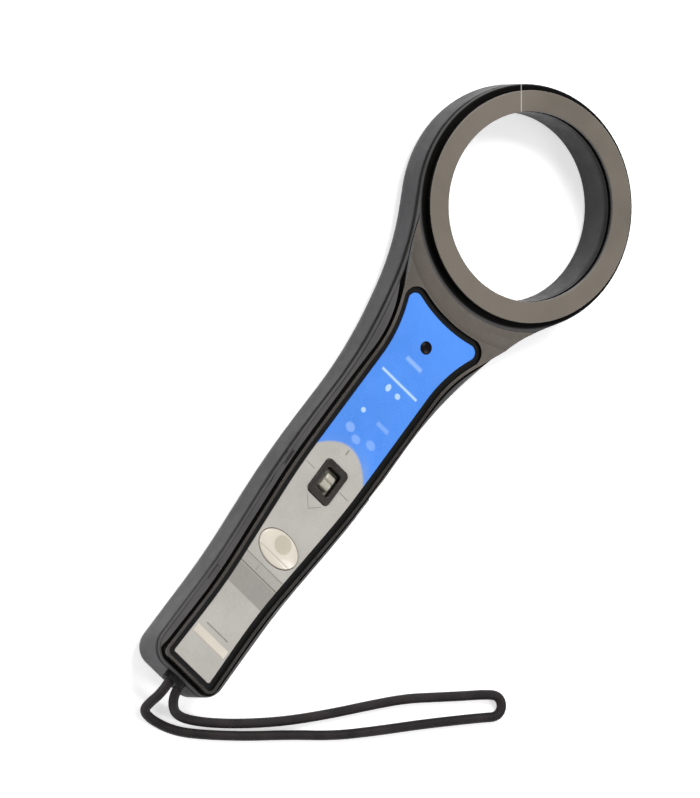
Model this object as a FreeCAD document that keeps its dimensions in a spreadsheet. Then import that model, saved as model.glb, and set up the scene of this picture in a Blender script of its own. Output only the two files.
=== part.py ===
import FreeCAD, Part
import math
import os
import re
from FreeCAD import Placement, Rotation, Vector

# Handheld microchip scanner: a ring head on a waisted handle, lying on its back.
# X runs across the handle, Y from the handle's end towards the ring, Z out of the face.
# The origin is the centre of the object's box, on the back face. Millimetres and degrees.
# A "drop" is a distance from the ring's centre towards the handle's end, a "half" is half a width.

SIZES = {
    # casing outline
    "ring_y": 98.7, "ring_r": 49.2, "bore_r": 38.0, "flare_angle": 30.97,
    "neck_half": 29.75, "neck_drop": 46.05, "neck_round": 110.0,
    "waist_half": 20.0, "waist_drop": 90.0, "waist_round": 180.0,
    "belly_half": 21.0, "belly_drop": 146.0, "belly_round": 400.0,
    "grip_half": 17.1, "grip_drop": 197.0, "grip_round": 300.0,
    "end_half": 17.6, "end_drop": 246.6, "end_round": 8.5,
    # outline of the raised rim on the face
    "brow_half": 35.4, "brow_drop": 35.6,
    "rim_waist_half": 17.4, "rim_waist_drop": 77.5, "rim_waist_round": 58.0,
    "rim_belly_half": 17.6, "rim_belly_drop": 148.0, "rim_belly_round": 300.0,
    "rim_grip_half": 13.2, "rim_grip_drop": 205.9, "rim_grip_round": 260.0,
    "rim_end_half": 14.3, "rim_end_drop": 244.7, "rim_end_round": 3.4,
    # levels above the back face
    "parting_z": 18.0, "shoulder_z": 23.4, "ledge_z": 20.4, "face_z": 24.0,
    "floor_z": 2.4, "roof_z": 20.0, "neck_roof_z": 18.7, "ring_roof_z": 19.0, "cavity_drop": 65.5,
    "trench_z": 21.2, "web_seat_z": 19.8, "panel_seat_z": 22.4, "board_z": 12.4,
    # casing walls and rounds
    "wall": 2.4, "back_round": 6.5, "shoulder_round": 4.4, "bore_back_round": 2.5,
    "seam_bevel": 0.5, "slip": 0.15, "ring_wall": 2.4,
    # ring cover, web and rim
    "groove_r": 50.2, "cover_r": 46.6, "cover_gap": 0.1, "cover_thick": 1.4, "neck_in": 0.5,
    "web_r": 59.3, "web_low_z": 21.1, "web_foot": 1.2, "rim_wide": 1.2, "moat": 1.2, "rim_soft": 0.35,
    # panel
    "border_wide": 2.5, "border_thick": 0.2, "overlay_thick": 0.6, "overlay_gap": 0.1,
    "panel_round": 5.8,
    # indicator
    "lens_drop": 74.3, "lens_r": 2.7, "lens_thick": 1.2, "led_r": 2.5, "led_top_z": 21.4,
    # slide switch
    "switch_drop": 144.5, "frame_half_x": 6.1, "frame_half_y": 8.3, "frame_round": 2.2,
    "slot_half_x": 3.7, "slot_half_y": 5.4, "frame_rise": 1.2,
    "knob_half_x": 2.2, "knob_half_y": 3.1, "knob_top_z": 23.9, "shoe_half_x": 5.0, "shoe_half_y": 8.6,
    "shoe_low_z": 18.3, "shoe_high_z": 19.6, "can_half_x": 2.2, "can_half_y": 6.3, "can_tall": 3.8,
    "lever_half": 1.0, "lever_slot_y": 3.3, "lever_deep": 2.2,
    # push button
    "button_drop": 179.4, "button_half_x": 10.3, "button_half_y": 7.15, "button_gap": 0.3,
    "button_top_z": 24.4, "flange_wide": 1.0, "flange_low_z": 18.8, "flange_high_z": 19.8,
    "tact_half": 3.0, "tact_tall": 3.5, "plunger_r": 1.75, "plunger_low_z": 15.9, "plunger_gap": 0.07,
    # main board
    "board_thick": 1.6, "board_half": 14.5, "board_top_drop": 69.0, "board_wide_drop": 82.0,
    "board_tail_drop": 175.0, "board_end_drop": 183.0, "board_top_half": 10.8, "board_tail_half": 9.6,
    "post_x": 11.3, "post_high_drop": 90.0, "post_low_drop": 157.5, "post_r": 2.6, "post_bore_r": 1.2,
    # case screws
    "boss_high_x": 15.0, "boss_high_drop": 72.5, "boss_low_x": 12.9, "boss_low_drop": 185.6,
    "boss_r": 3.7, "front_boss_r": 3.0,
    "screw_r": 1.4, "screw_hole_r": 1.5, "head_r": 2.7, "head_hole_r": 3.1, "head_low_z": 1.2,
    "head_tall": 1.8, "boss_split_z": 15.0, "screw_top_z": 18.6, "boss_top_bore_z": 19.0,
    # antenna
    "bobbin_in_r": 40.7, "bobbin_core_r": 41.6, "bobbin_out_r": 44.8, "coil_out_r": 44.3,
    "bobbin_low_z": 4.2, "bobbin_high_z": 17.4, "flange_thick": 1.0,
    # battery, its clip and its door
    "battery_half_x": 13.25, "battery_low_z": 2.4, "battery_high_z": 19.6, "battery_top_drop": 194.0,
    "battery_end_drop": 240.4, "stud_r": 2.9, "stud_tall": 2.4, "stud_x": 6.35, "battery_z": 11.0,
    "clip_thick": 3.4, "clip_half_x": 12.8, "clip_half_z": 7.0,
    "door_half": 13.9, "door_low_z": 0.2, "door_thick": 1.8, "door_end_drop": 241.2,
    "door_neck_drop": 191.4, "door_tongue_half": 10.0, "door_tongue_drop": 189.0,
    "door_gap": 0.3, "door_swing_gap": 0.7,
    "pin_r": 0.5, "pin_bore_r": 0.56, "pin_half": 12.4, "notch_deep": 0.8,
    # lanyard
    "eye_half_x": 5.1, "eye_half_z": 2.7, "eye_z": 17.0, "cord_r": 2.0, "cord_z": 2.05,
    "bar_r": 1.0, "bar_drop": 242.7, "bar_z": 13.9, "bar_half": 8.2, "cheek_thick": 2.2,
    "sleeve_slip": 0.05, "sleeve_in": 3.0, "sleeve_out": 2.8,
    # wires
    "wire_r": 0.6,
}

# Boxes on the board: half width, half length, height, x, drop.
BOARD_PARTS = {
    "reader_chip": (3.75, 5.15, 2.4, 0.0, 105.0),
    "controller_chip": (5.0, 5.0, 1.5, 0.0, 157.0),
    "antenna_connector": (3.0, 2.4, 4.2, 0.0, 85.5),
    "battery_connector": (3.0, 2.2, 4.2, 5.4, 166.2),
}

UP = Vector(0, 0, 1)
doc = FreeCAD.newDocument("microchip_scanner")
sheet = doc.addObject("Spreadsheet::Sheet", "Sizes")
nodes = {}


def fill_sheet():
    """Every driving dimension gets its own row, with its name beside it."""
    for row, (alias, number) in enumerate(SIZES.items(), start=1):
        sheet.set(f"A{row}", alias)
        sheet.set(f"B{row}", str(number))
        sheet.setAlias(f"B{row}", alias)
    doc.recompute()


def size(alias):
    return float(sheet.get(alias))


def formula(text):
    """An expression on the sheet's cells: every name in it is an alias."""
    return re.sub(r"[a-z][a-z_]+", r"Sizes.\g<0>", text)


def down(alias):
    """The Y of a drop below the ring's centre."""
    return size("ring_y") - size(alias)


# ---------------------------------------------------------------- outlines

def arc(centre, radius, start, end):
    """A counter-clockwise arc between two points of a circle."""
    first = math.atan2(start.y - centre.y, start.x - centre.x)
    last = math.atan2(end.y - centre.y, end.x - centre.x)
    return Part.ArcOfCircle(Part.Circle(centre, UP, radius), first, last)


def circle(x, y, radius):
    return Part.Circle(Vector(x, y, 0), UP, radius)


def inset_line(start, end, inset):
    """A side of a counter-clockwise loop moved inwards: its start, end and direction."""
    along = (end - start).normalize()
    inward = Vector(-along.y, along.x, 0) * inset
    return start + inward, end + inward, along


def crossing(line, other):
    point, _, along = line
    target, _, across = other
    gap = target - point
    turn = along.x * across.y - along.y * across.x
    return point + along * ((gap.x * across.y - gap.y * across.x) / turn)


def rounded_run(points, rounds, inset):
    """Lines and arcs along an open run of points, moved inwards; each inner corner is rounded.

    A corner that bulges outwards loses the inset from its radius, and a hollow one gains it.
    """
    lines = [inset_line(a, b, inset) for a, b in zip(points, points[1:])]
    edges = []
    start = lines[0][0]
    for line, following, radius in zip(lines, lines[1:], rounds):
        corner = crossing(line, following)
        along, across = line[2], following[2]
        turn = math.atan2(along.x * across.y - along.y * across.x, along.dot(across))
        side = math.copysign(1, turn)
        radius = max(radius - side * inset, 0.8)
        reach = radius * math.tan(abs(turn) / 2)
        entry = corner - along * reach
        leave = corner + across * reach
        centre = entry + Vector(-along.y, along.x, 0) * side * radius
        edges.append(Part.LineSegment(start, entry))
        first, last = (entry, leave) if side > 0 else (leave, entry)
        edges.append(arc(centre, radius, first, last))
        start = leave
    edges.append(Part.LineSegment(start, lines[-1][1]))
    return edges


def mirrored_run(left):
    """A left-hand run of points, continued up the right-hand side."""
    return left + [Vector(-p.x, p.y, 0) for p in reversed(left)]


def side_points(prefix, names):
    return [Vector(-size(f"{prefix}{name}_half"), down(f"{prefix}{name}_drop"), 0) for name in names]


def casing_outline(inset=0.0):
    """The ring's arc, the straight flare, the waist, the grip and the rounded end."""
    angle = math.radians(180 + size("flare_angle"))
    head = Vector(0, size("ring_y"), 0)
    tangent = head + Vector(math.cos(angle), math.sin(angle), 0) * size("ring_r")
    names = ["neck", "waist", "belly", "grip", "end"]
    left = [tangent] + side_points("", names)
    rounds = [size(f"{name}_round") for name in names]
    edges = rounded_run(mirrored_run(left), rounds + rounds[::-1], inset)
    return edges + [arc(head, size("ring_r") - inset, edges[-1].EndPoint, edges[0].StartPoint)]


def face_outline(inset, top_r, top_round):
    """The rim's outline, closed at the top by an arc round the ring's centre."""
    head = Vector(0, size("ring_y"), 0)
    left = side_points("", ["brow"]) + side_points("rim_", ["waist", "belly", "grip", "end"])
    start, _, along = inset_line(left[0], left[1], inset + top_round)
    inward = Vector(-along.y, along.x, 0)
    offset = start - head
    shift = -offset.dot(along) + math.sqrt(
        offset.dot(along) ** 2 - offset.dot(offset) + (top_r + top_round) ** 2)
    centre = start + along * shift
    left[0] = centre - inward * (inset + top_round)
    rounds = [size(f"rim_{name}_round") for name in ("waist", "belly", "grip", "end")]
    edges = rounded_run(mirrored_run(left), rounds + rounds[::-1], inset)
    touch = head + (centre - head).normalize() * top_r
    opposite = Vector(-touch.x, touch.y, 0)
    edges.append(arc(head, top_r, touch, opposite))
    if top_round > 0:
        edges.append(arc(centre, top_round, touch, edges[0].StartPoint))
        mirror = Vector(-centre.x, centre.y, 0)
        edges.append(arc(mirror, top_round, edges[-3].EndPoint, opposite))
    return edges


def panel_outline(inset):
    """The opening inside the rim, moved further inwards by the inset all round."""
    return face_outline(size("rim_wide") + inset, size("web_r") + inset, size("panel_round") - inset)


def rounded_box(half_x, half_y, radius, x=0.0, y=0.0):
    """A rectangle with equal rounded corners, as lines and arcs."""
    middle = Vector(x - half_x, y, 0)
    corners = [middle, Vector(x - half_x, y - half_y, 0), Vector(x + half_x, y - half_y, 0),
               Vector(x + half_x, y + half_y, 0), Vector(x - half_x, y + half_y, 0), middle]
    return rounded_run(corners, [radius] * 4, 0.0)


def polygon(points):
    closed = points + points[:1]
    return [Part.LineSegment(a, b) for a, b in zip(closed, closed[1:])]


def oval(half_x, half_y, x, y):
    return [Part.Ellipse(Vector(x + half_x, y, 0), Vector(x, y + half_y, 0), Vector(x, y, 0))]


# ---------------------------------------------------------------- features

def new_body(label):
    body = doc.addObject("PartDesign::Body", label)
    body.Label = label
    nodes[label] = body
    return body


def sketch(body, edges, level, role="XY_Plane"):
    """A sketch on one of the body's own planes, raised to a level given by the sheet."""
    plane = next(item for item in body.Origin.OriginFeatures if item.Role == role)
    drawing = body.newObject("Sketcher::SketchObject", "outline")
    drawing.AttachmentSupport = [(plane, "")]
    drawing.MapMode = "FlatFace"
    drawing.setExpression(".AttachmentOffset.Base.z", formula(level))
    for edge in edges:
        drawing.addGeometry(edge)
    return drawing


def pad(body, edges, low, high):
    feature = body.newObject("PartDesign::Pad", "pad")
    feature.Profile = sketch(body, edges, low)
    feature.setExpression("Length", formula(f"{high} - ({low})"))
    doc.recompute()
    return feature


def pocket(body, edges, low, high):
    """Cuts a loop's prism between two levels, and checks that it took something away."""
    before = body.Shape.Volume
    feature = body.newObject("PartDesign::Pocket", "pocket")
    feature.Profile = sketch(body, edges, high)
    feature.setExpression("Length", formula(f"{high} - ({low})"))
    doc.recompute()
    if feature.Shape.isNull() or feature.Shape.Volume >= before:
        raise RuntimeError(f"{body.Label}: a pocket cuts nothing")
    return feature


def revolve(body, edges, kind="PartDesign::Revolution"):
    """A full turn about the ring's axis of a profile drawn in the plane through that axis."""
    feature = body.newObject(kind, "turn")
    drawing = sketch(body, edges, "0 - ring_y", "XZ_Plane")
    feature.Profile = drawing
    feature.ReferenceAxis = (drawing, ["V_Axis"])
    feature.Angle = 360
    doc.recompute()
    return feature


def dress(body, kind, alias, chosen):
    """A fillet or chamfer on the edges of the body that a test picks."""
    base = body.Tip
    names = [f"Edge{n}" for n, edge in enumerate(base.Shape.Edges, start=1) if chosen(edge)]
    feature = body.newObject(f"PartDesign::{kind}", kind.lower())
    feature.Base = (base, names)
    feature.setExpression("Radius" if kind == "Fillet" else "Size", formula(alias))
    doc.recompute()
    if feature.Shape.isNull() or not feature.Shape.isValid():
        raise RuntimeError(f"{body.Label}: {kind} {alias} failed")
    return feature


def at_level(level, inside=None):
    """Picks edges that lie at one level, and if asked on the bore or off it."""
    bore_middle = Vector(0, size("ring_y"), level)

    def test(edge):
        box = edge.BoundBox
        if abs(box.ZMin - level) > 0.01 or abs(box.ZMax - level) > 0.01:
            return False
        on_bore = (edge.valueAt(edge.FirstParameter) - bore_middle).Length < size("bore_r") + 1
        return inside is None or on_bore == inside
    return test


def cylinder(label, radius, length, place):
    """A plain cylinder whose radius and length are bound to cells."""
    item = doc.addObject("Part::Cylinder", label)
    item.setExpression("Radius", formula(radius))
    item.setExpression("Height", formula(length))
    item.Placement = place
    item.Label = label
    nodes[label] = item


def along_x(x, y, z):
    return Placement(Vector(x, y, z), Rotation(Vector(0, 1, 0), 90))


def shaped(label, shape):
    item = doc.addObject("Part::Feature", label)
    item.Shape = shape
    item.Label = label
    nodes[label] = item


# ---------------------------------------------------------------- cords and wires

def tube(points, radius, report=None):
    """A round tube along straight runs joined by tangent arcs.

    Each arc's radius is 0.45 of its shorter run over the tangent of half its turn.
    """
    edges = []
    start = points[0]
    length = 0.0
    radii = []
    for before, corner, after in zip(points, points[1:], points[2:]):
        entry_dir = (corner - before).normalize()
        leave_dir = (after - corner).normalize()
        turn = entry_dir.getAngle(leave_dir)
        reach = 0.45 * min((corner - before).Length, (after - corner).Length)
        bend = reach / math.tan(turn / 2)
        entry = corner - entry_dir * reach
        leave = corner + leave_dir * reach
        inward = (leave_dir - entry_dir).normalize()
        middle = corner + inward * (bend / math.cos(turn / 2) - bend)
        edges.append(Part.LineSegment(start, entry).toShape())
        edges.append(Part.Arc(entry, middle, leave).toShape())
        length += (entry - start).Length + bend * turn
        radii.append(bend)
        start = leave
    edges.append(Part.LineSegment(start, points[-1]).toShape())
    length += (points[-1] - start).Length
    path = Part.Wire(edges)
    section = Part.Wire(Part.Circle(points[0], points[1] - points[0], radius).toShape())
    solid = path.makePipeShell([section], True, False)
    if report:
        print(f"{report}: length {length:.1f}, tightest bend {min(radii):.1f}")
        print("  bends:", " ".join(f"{bend:.1f}" for bend in radii))
        print(f"  volume {solid.Volume:.0f}, section x length {math.pi * radius ** 2 * length:.0f}")
    return solid


# ---------------------------------------------------------------- casing

def case_screw_places():
    for x, drop in (("boss_high_x", "boss_high_drop"), ("boss_low_x", "boss_low_drop")):
        for side in (-1, 1):
            yield side * size(x), down(drop)


def board_post_places():
    for drop in ("post_high_drop", "post_low_drop"):
        for side in (-1, 1):
            yield side * size("post_x"), down(drop)


def back_form(body):
    """The rear casing's outer form: the outline, rounded at the back and round the bore."""
    ring = circle(0, size("ring_y"), size("bore_r"))
    pad(body, casing_outline() + [ring], "0", "parting_z")
    dress(body, "Fillet", "back_round", at_level(0.0, inside=False))
    dress(body, "Fillet", "bore_back_round", at_level(0.0, inside=True))


def door_loop(grow, swing):
    """The battery door's outline: a plate with a narrower tongue for the hinge.

    The swing is the room at the plate's shoulders, whose corners turn about the pin.
    """
    half = size("door_half") + grow
    neck = size("door_tongue_half") + grow
    end = down("door_end_drop") - grow
    shoulder = down("door_neck_drop") + swing
    tip = down("door_tongue_drop") + grow
    return polygon([Vector(-half, end, 0), Vector(half, end, 0), Vector(half, shoulder, 0),
                    Vector(neck, shoulder, 0), Vector(neck, tip, 0), Vector(-neck, tip, 0),
                    Vector(-neck, shoulder, 0), Vector(-half, shoulder, 0)])


def make_rear_shell():
    body = new_body("rear_shell")
    back_form(body)
    channel = circle(0, size("ring_y"), size("bore_r") + size("ring_wall"))
    pocket(body, casing_outline(size("wall")) + [channel], "floor_z", "parting_z")
    for x, y in case_screw_places():
        pad(body, [circle(x, y, size("boss_r"))], "floor_z - 0.2", "boss_split_z - slip")
    for x, y in board_post_places():
        pad(body, [circle(x, y, size("post_r"))], "floor_z - 0.2", "board_z")
    for side in (-1, 1):
        cheek = [Vector(side * x, y, 0) for x, y in (
            (size("bar_half") - size("cheek_thick"), down("bar_drop") + 1.8),
            (size("bar_half"), down("bar_drop") + 1.8),
            (size("bar_half"), down("end_drop") + 2.0),
            (size("bar_half") - size("cheek_thick"), down("end_drop") + 2.0))]
        pad(body, polygon(cheek), "floor_z - 0.2", "parting_z - slip")
    for x, y in case_screw_places():
        pocket(body, [circle(x, y, size("screw_hole_r"))], "0 - 1", "parting_z")
        pocket(body, [circle(x, y, size("head_hole_r"))], "0 - 1", "head_low_z + head_tall")
    for x, y in board_post_places():
        pocket(body, [circle(x, y, size("post_bore_r"))], "floor_z + 1", "board_z")
    pocket(body, door_loop(size("door_gap"), size("door_swing_gap")), "0 - 1", "floor_z + 0.3")
    drill_across(body, "pin_bore_r", "pin_half", down("door_tongue_drop") - size("door_thick") / 2,
                 size("door_low_z") + size("door_thick") / 2)
    drill_across(body, "bar_r", "bar_half", down("bar_drop"), size("bar_z"))
    cut_eye(body)
    dress(body, "Chamfer", "seam_bevel", outer_seam(size("parting_z")))


def drill_across(body, radius, half, y, z):
    """A hole along X, the same length each side of the middle."""
    feature = body.newObject("PartDesign::Pocket", "cross_hole")
    feature.Profile = sketch(body, [circle(y, z, size(radius))], "0", "YZ_Plane")
    feature.Midplane = True
    feature.setExpression("Length", formula(f"{half} * 2"))
    doc.recompute()
    return feature


def cut_eye(body):
    """The slot through the handle's end wall, half in each shell, that the lanyard goes into."""
    feature = body.newObject("PartDesign::Pocket", "eye")
    edges = rounded_box(size("eye_half_x"), size("eye_half_z"), size("eye_half_z") - 0.05, 0.0, size("eye_z"))
    feature.Profile = sketch(body, edges, "end_drop - ring_y + 1", "XZ_Plane")
    feature.setExpression("Length", formula("wall + 1.6"))
    doc.recompute()
    return feature


def outer_seam(level):
    """Picks the outermost edges at the parting line."""
    solid = Part.Face(Part.Wire([edge.toShape() for edge in casing_outline(0.2)]))
    solid.translate(Vector(0, 0, level))

    def test(edge):
        if not at_level(level)(edge):
            return False
        middle = edge.valueAt((edge.FirstParameter + edge.LastParameter) / 2)
        return not solid.isInside(middle, 0.01, True)
    return test


def make_front_shell():
    body = new_body("front_shell")
    pad(body, casing_outline(), "parting_z", "shoulder_z")
    dress(body, "Fillet", "shoulder_round", at_level(size("shoulder_z")))
    head = size("ring_y")
    slip = size("slip")
    pocket(body, [circle(0, head, size("groove_r"))], "ledge_z", "face_z")
    pocket(body, face_outline(-size("moat"), size("groove_r"), 0.0), "trench_z", "face_z")
    pad(body, panel_outline(slip), "trench_z", "panel_seat_z")
    pocket(body, web_loop(slip, 0.0), "web_seat_z", "face_z")
    wall_in = size("bore_r") + size("ring_wall")
    channel = circle(0, head, wall_in)
    outer = circle(0, head, size("ring_r") - size("wall"))
    pocket(body, casing_outline(size("wall")) + [channel], "parting_z - 1", "neck_roof_z")
    pocket(body, [channel, outer], "parting_z", "ring_roof_z")
    pocket(body, panel_cavity(), "parting_z", "roof_z")
    for x, y in case_screw_places():
        pad(body, [circle(x, y, size("front_boss_r"))], "boss_split_z", "roof_z + 0.2")
        pocket(body, [circle(x, y, size("screw_hole_r"))], "boss_split_z", "boss_top_bore_z")
    pocket(body, [circle(0, head, size("bore_r"))], "parting_z - 1", "face_z")
    pocket(body, oval(size("button_half_x"), size("button_half_y"), 0, down("button_drop")),
           "parting_z", "face_z")
    pocket(body, rounded_box(size("slot_half_x"), size("slot_half_y"), 1.0, 0, down("switch_drop")),
           "parting_z", "face_z")
    pocket(body, [circle(0, down("lens_drop"), size("lens_r"))], "parting_z", "face_z")
    cut_eye(body)
    dress(body, "Chamfer", "seam_bevel", outer_seam(size("parting_z")))


def panel_cavity():
    """The handle's inner outline below the neck, closed by a straight line across the neck."""
    run = casing_outline(size("wall"))[2:-3]
    limit = down("cavity_drop")
    first = run[0]
    along = (first.EndPoint - first.StartPoint).normalize()
    start = first.EndPoint + along * ((limit - first.EndPoint.y) / along.y)
    end = Vector(-start.x, start.y, 0)
    run[0] = Part.LineSegment(start, first.EndPoint)
    run[-1] = Part.LineSegment(run[-1].StartPoint, end)
    return run + [Part.LineSegment(end, start)]


def web_loop(grow, top_gap):
    """The crescent-topped web between the ring's groove and the panel, grown or kept clear above."""
    loop = face_outline(-grow, size("groove_r") + top_gap, 0.0)
    top = loop[-1]
    head = Vector(0, size("ring_y"), 0)
    left = loop[0]
    along = (left.EndPoint - left.StartPoint).normalize()
    offset = left.StartPoint - head
    radius = size("web_r") + grow
    shift = -offset.dot(along) + math.sqrt(offset.dot(along) ** 2 - offset.dot(offset) + radius ** 2)
    low = left.StartPoint + along * shift
    mirror = Vector(-low.x, low.y, 0)
    return [Part.LineSegment(left.StartPoint, low), arc(head, radius, low, mirror),
            Part.LineSegment(mirror, top.EndPoint), top]


# ---------------------------------------------------------------- face

def make_ring_cover():
    """The flat annulus, standing on a narrower neck that leaves a shadow gap under it."""
    body = new_body("ring_cover")
    inner = size("bore_r") + size("cover_gap")
    outer = size("cover_r")
    step = size("neck_in")
    base = size("ledge_z")
    under = size("face_z") - size("cover_thick")
    top = size("face_z")
    profile = [(inner + step, base), (outer - step, base), (outer - step, under), (outer, under),
               (outer, top), (inner, top), (inner, under), (inner + step, under)]
    revolve(body, polygon([Vector(x, z, 0) for x, z in profile]))
    dress(body, "Fillet", "rim_soft", at_level(top))


def make_face_bezel():
    """The rim round the panel and the saddle web that runs up to the ring's groove."""
    body = new_body("face_bezel")
    pad(body, face_outline(0.0, size("groove_r") + size("slip"), 0.0), "trench_z", "face_z")
    pad(body, web_loop(0.0, size("slip")), "web_seat_z", "trench_z")
    pocket(body, panel_outline(0.0), "web_seat_z", "face_z")
    revolve(body, saddle_profile(), "PartDesign::Groove")


def saddle_profile():
    """The hollow turned into the web: a foot by the groove, then a long arc up to the panel."""
    foot = Vector(size("groove_r") - 2.0, size("web_low_z") + 0.6, 0)
    valley = Vector(size("groove_r") + size("web_foot") + 1.6, size("web_low_z"), 0)
    crest = Vector(size("web_r") - 0.3, size("face_z") + 0.02, 0)
    over = Vector(size("groove_r") - 2.0, size("face_z") + 0.02, 0)
    bend = Part.Arc(foot, valley, crest)
    return [bend, Part.LineSegment(crest, over), Part.LineSegment(over, foot)]


def make_panel_gasket():
    """The black border between the rim and the printed panel."""
    body = new_body("panel_gasket")
    outer = panel_outline(size("overlay_gap"))
    inner = panel_outline(size("border_wide"))
    pad(body, outer + inner, "panel_seat_z", "panel_seat_z + border_thick")


def make_panel_overlay():
    """The printed panel film with its three openings."""
    body = new_body("panel_overlay")
    gap = size("overlay_gap")
    pad(body, panel_outline(size("border_wide") + gap), "panel_seat_z", "panel_seat_z + overlay_thick")
    frame = rounded_box(size("frame_half_x") + gap, size("frame_half_y") + gap, size("frame_round"),
                        0, down("switch_drop"))
    pocket(body, frame, "panel_seat_z - 1", "face_z")
    pocket(body, oval(size("button_half_x"), size("button_half_y"), 0, down("button_drop")),
           "panel_seat_z - 1", "face_z")
    pocket(body, [circle(0, down("lens_drop"), size("lens_r"))], "panel_seat_z - 1", "face_z")


def make_indicator():
    lens = new_body("indicator_lens")
    pad(lens, [circle(0, down("lens_drop"), size("lens_r") - size("overlay_gap"))],
        "panel_seat_z + overlay_thick - lens_thick", "panel_seat_z + overlay_thick")
    led = new_body("indicator_led")
    y = down("lens_drop")
    pad(led, [circle(0, y, size("led_r") + 0.4)], "board_z + board_thick", "board_z + board_thick + 1")
    pad(led, [circle(0, y, size("led_r"))], "board_z + board_thick + 1", "led_top_z")
    dress(led, "Fillet", "led_r - 0.3", at_level(size("led_top_z")))


# ---------------------------------------------------------------- controls

def make_slide_switch():
    y = down("switch_drop")
    frame = new_body("switch_frame")
    pad(frame, rounded_box(size("frame_half_x"), size("frame_half_y"), size("frame_round"), 0, y),
        "panel_seat_z", "panel_seat_z + frame_rise")
    pocket(frame, rounded_box(size("slot_half_x"), size("slot_half_y"), 1.0, 0, y),
           "panel_seat_z - 1", "face_z")
    dress(frame, "Fillet", "rim_soft", at_level(size("panel_seat_z") + size("frame_rise")))

    knob = new_body("slide_knob")
    pad(knob, rounded_box(size("shoe_half_x"), size("shoe_half_y"), 0.8, 0, y), "shoe_low_z", "shoe_high_z")
    pad(knob, rounded_box(size("knob_half_x"), size("knob_half_y"), 0.6, 0, y), "shoe_high_z", "knob_top_z")
    for step in (-1, 0, 1):
        pocket(knob, rounded_box(size("knob_half_x") + 1, 0.3, 0.2, 0, y + 1.5 * step),
               "knob_top_z - 0.4", "knob_top_z")

    can = new_body("slide_switch_body")
    pad(can, rounded_box(size("can_half_x"), size("can_half_y"), 0.5, 0, y),
        "board_z + board_thick", "board_z + board_thick + can_tall")
    pocket(can, rounded_box(size("lever_half") + 0.1, size("lever_slot_y"), 0.3, 0, y),
           "board_z + board_thick + can_tall - lever_deep", "board_z + board_thick + can_tall + 1")
    lever = new_body("slide_actuator")
    pad(lever, rounded_box(size("lever_half"), size("lever_half"), 0.2, 0, y),
        "board_z + board_thick + can_tall - lever_deep + 0.3", "shoe_low_z")


def make_push_button():
    y = down("button_drop")
    gap = size("button_gap")
    half_x = size("button_half_x")
    half_y = size("button_half_y")
    wide = size("flange_wide")
    button = new_body("push_button")
    pad(button, oval(half_x + wide, half_y + wide, 0, y), "flange_low_z", "flange_high_z")
    pad(button, oval(half_x - gap, half_y - gap, 0, y), "flange_high_z", "button_top_z")
    dress(button, "Fillet", "rim_soft * 2", at_level(size("button_top_z")))

    body = new_body("tact_switch_body")
    pad(body, rounded_box(size("tact_half"), size("tact_half"), 0.4, 0, y),
        "board_z + board_thick", "board_z + board_thick + tact_tall")
    pocket(body, [circle(0, y, size("plunger_r") + size("plunger_gap"))],
           "plunger_low_z - 1.2", "board_z + board_thick + tact_tall")
    cylinder("tact_plunger", "plunger_r", "flange_low_z - plunger_low_z",
             Placement(Vector(0, y, size("plunger_low_z")), Rotation()))


# ---------------------------------------------------------------- electronics

def make_board():
    body = new_body("main_board")
    left = [Vector(-size(half), down(drop), 0) for half, drop in (
        ("board_top_half", "board_top_drop"), ("board_top_half", "board_wide_drop"),
        ("board_half", "board_wide_drop"), ("board_half", "board_tail_drop"),
        ("board_tail_half", "board_tail_drop"), ("board_tail_half", "board_end_drop"))]
    pad(body, polygon(mirrored_run(left)), "board_z", "board_z + board_thick")
    for x, y in board_post_places():
        pocket(body, [circle(x, y, size("screw_r"))], "board_z - 1", "board_z + board_thick")


def make_chips():
    """Moulded packages with a row of gull-wing legs down both long sides."""
    base = size("board_z") + size("board_thick")
    for label in ("reader_chip", "controller_chip"):
        half_x, half_y, tall, x, drop = BOARD_PARTS[label]
        y = size("ring_y") - drop
        package = Part.makeBox(2 * half_x, 2 * half_y, tall - 0.2, Vector(x - half_x, y - half_y, base + 0.2))
        package = package.makeChamfer(0.25, package.Faces[5].Edges)
        legs = []
        pitch = 1.27
        count = int(2 * half_y / pitch)
        for index in range(count):
            leg_y = y + (index - (count - 1) / 2) * pitch
            for side in (-1, 1):
                low = Vector(x + side * (half_x + 0.5) - 0.6, leg_y - 0.2, base)
                legs.append(Part.makeBox(1.2, 0.4, 0.6, low))
        shaped(label, package.multiFuse(legs).removeSplitter())


def make_connectors():
    """Two-way headers with a hollow mouth for the wires."""
    base = size("board_z") + size("board_thick")
    for label in ("antenna_connector", "battery_connector"):
        half_x, half_y, tall, x, drop = BOARD_PARTS[label]
        y = size("ring_y") - drop
        block = Part.makeBox(2 * half_x, 2 * half_y, tall, Vector(x - half_x, y - half_y, base))
        mouth = Part.makeBox(2 * half_x - 1.4, 2 * half_y, tall - 1.0,
                             Vector(x - half_x + 0.7, y - half_y + 0.7, base + 1.0))
        shaped(label, block.cut(mouth))


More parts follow.
